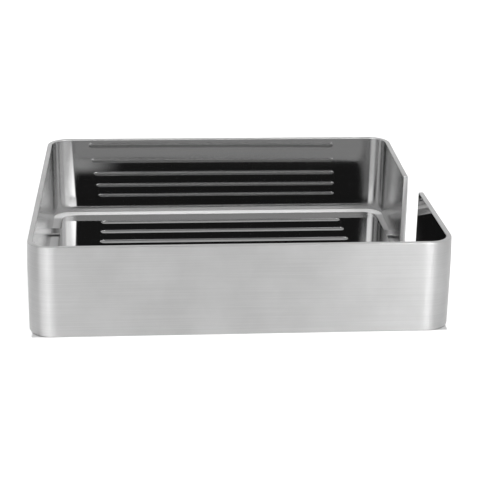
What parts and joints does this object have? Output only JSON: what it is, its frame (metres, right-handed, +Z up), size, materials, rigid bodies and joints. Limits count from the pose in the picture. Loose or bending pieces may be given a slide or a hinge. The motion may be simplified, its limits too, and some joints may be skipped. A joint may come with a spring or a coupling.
{
  "type": "wall-mounted soap dish",
  "caption": "Shallow rectangular soap dish: a bent flat-bar frame with an open gap in one side, round a slotted drain plate, hung on a concealed wall bracket.",
  "frame": {"origin": "on the wall's face, midway between the wall bracket's two screw holes", "axes": "+X to the right as seen from the front, +Y into the wall, +Z up"},
  "size_m": [0.135, 0.129, 0.03],
  "materials": {
    "brushed_band": "satin outside, polished inside",
    "polished_plate": "mirror polished stainless steel",
    "satin_sheet": "satin stainless steel",
    "bracket_sheet": "mill finish stainless steel",
    "hardware_steel": "plain stainless fasteners"
  },
  "bodies": {
    "wall_fixing": {"wall_bracket": "bracket_sheet"},
    "dish": {"frame_band": "brushed_band", "drain_plate": "polished_plate", "mount_housing": "satin_sheet", "hook_rail": "satin_sheet", "insert_nuts": "hardware_steel"},
    "lock_screw_left": {"lock_screw_left": "hardware_steel"},
    "lock_screw_right": {"lock_screw_right": "hardware_steel"}
  },
  "joints": [
    {"name": "dish_lift", "type": "slide", "parent": "wall_fixing", "child": "dish", "axis": [0, 0, 1], "range_m": [0, 0.0028]},
    {"name": "lock_screw_left_travel", "type": "slide", "parent": "dish", "child": "lock_screw_left", "axis": [1, 0, 0], "range_m": [0, 0.0021]},
    {"name": "lock_screw_right_travel", "type": "slide", "parent": "dish", "child": "lock_screw_right", "axis": [-1, 0, 0], "range_m": [0, 0.0021]}
  ]
}
